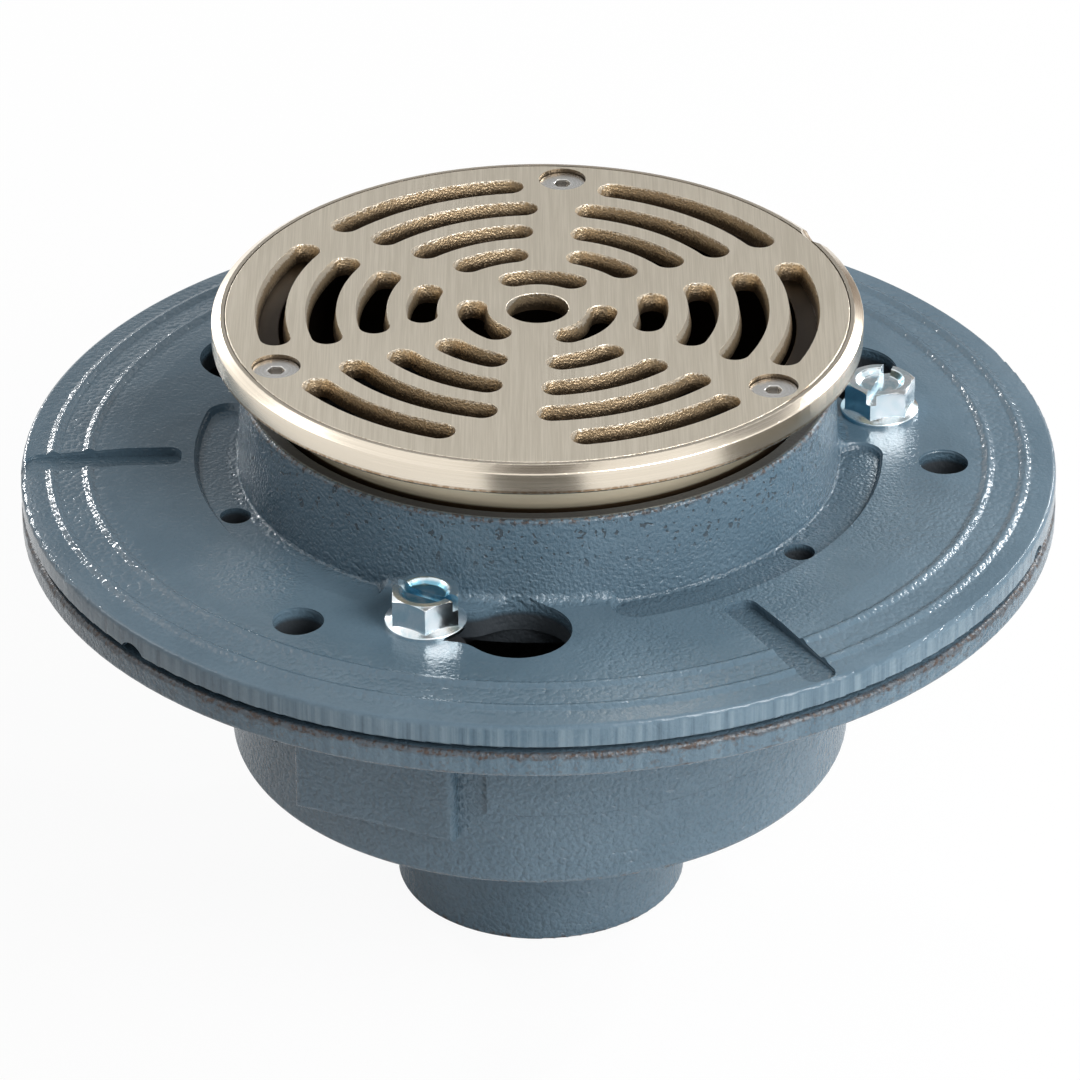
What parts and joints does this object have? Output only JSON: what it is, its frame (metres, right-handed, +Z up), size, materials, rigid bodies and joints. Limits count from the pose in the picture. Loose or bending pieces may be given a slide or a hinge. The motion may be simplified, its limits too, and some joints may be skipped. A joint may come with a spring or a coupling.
{
  "type": "floor drain",
  "caption": "Round cast-iron floor drain with a clamping collar, an adjustable slotted strainer and a bottom outlet; drains floor water into a pipe.",
  "frame": {"origin": "centre of the outlet's foot, on the surface that the drain stands on", "axes": "+Z up along the drain's axis, +X to the right and +Y away from the viewer in the picture"},
  "size_m": [0.209, 0.209, 0.1316],
  "materials": {
    "coated_iron": "blue-grey epoxy coat over sand-cast iron, some rust at the edges",
    "zinc_plate": "bright zinc plate",
    "nickel_bronze": "brushed nickel bronze",
    "stainless_steel": "polished stainless steel"
  },
  "bodies": {
    "drain": {"drain_body": "coated_iron", "clamp_bolt_1": "zinc_plate", "clamp_bolt_2": "zinc_plate", "clamp_bolt_3": "zinc_plate"},
    "collar": {"clamping_collar": "coated_iron"},
    "strainer": {"strainer_ring": "nickel_bronze", "strainer_grate": "nickel_bronze", "grate_screw_1": "stainless_steel", "grate_screw_2": "stainless_steel", "grate_screw_3": "stainless_steel"}
  },
  "joints": [
    {"name": "collar_turn", "type": "hinge", "parent": "drain", "child": "collar", "pos_m": [0, 0, 0.0933], "axis": [0, 0, 1], "range_deg": [-14.6, 0]},
    {"name": "strainer_height", "type": "slide", "parent": "collar", "child": "strainer", "axis": [0, 0, 1], "range_m": [-0.0048, 0.0127]}
  ]
}
